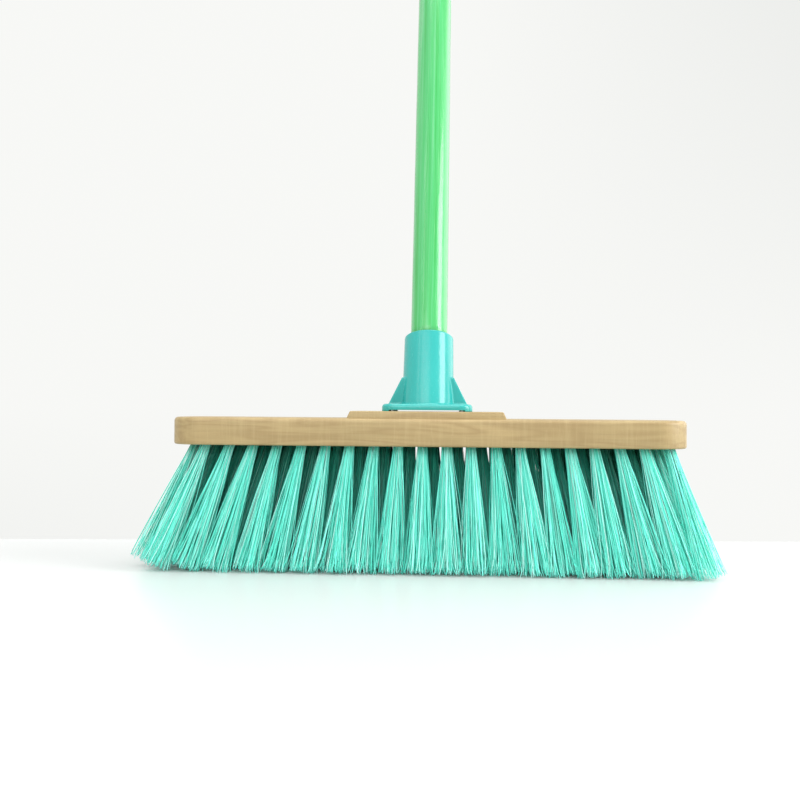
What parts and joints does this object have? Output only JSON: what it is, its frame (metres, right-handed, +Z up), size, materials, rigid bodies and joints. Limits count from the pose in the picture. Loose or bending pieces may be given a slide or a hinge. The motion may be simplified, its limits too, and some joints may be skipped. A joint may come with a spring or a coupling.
{
  "type": "push broom",
  "caption": "Household push broom: a wooden block with fanned rows of soft green bristles, a slanted plastic socket and a film-covered wooden handle that screws in.",
  "frame": {"origin": "on the floor under the middle of the block, on the flat end of the tuft that stands there", "axes": "+X along the block to the right seen from the front, +Y backwards, the way the handle leans, +Z up"},
  "size_m": [0.3417, 0.4301, 1.2394],
  "materials": {
    "block_wood": "sanded, thin satin lacquer",
    "bristle": "glossy translucent plastic filament",
    "steel": "zinc plated",
    "socket_plastic": "glossy moulded",
    "handle_wood": "plain",
    "handle_film": "glossy film over wood grain",
    "cap_plastic": "glossy moulded"
  },
  "bodies": {
    "head": {"head_block": "block_wood", "handle_socket": "socket_plastic", "socket_screws": "steel", "tufts_left_1": "bristle", "tufts_left_2": "bristle", "tufts_left_3": "bristle", "tufts_left_4": "bristle", "tufts_left_5": "bristle", "tufts_right_1": "bristle", "tufts_right_2": "bristle", "tufts_right_3": "bristle", "tufts_right_4": "bristle", "tufts_right_5": "bristle", "anchors_1": "steel", "anchors_2": "steel", "anchors_3": "steel", "anchors_4": "steel", "anchors_5": "steel"},
    "handle": {"thread_tip": "socket_plastic", "tip_nails": "steel", "handle_core": "handle_wood", "handle_film": "handle_film", "end_cap": "cap_plastic"}
  },
  "joints": [
    {"name": "handle_pull", "type": "slide", "parent": "head", "child": "handle", "axis": [0, 0.3173, 0.9483], "range_m": [0, 0.06]}
  ]
}
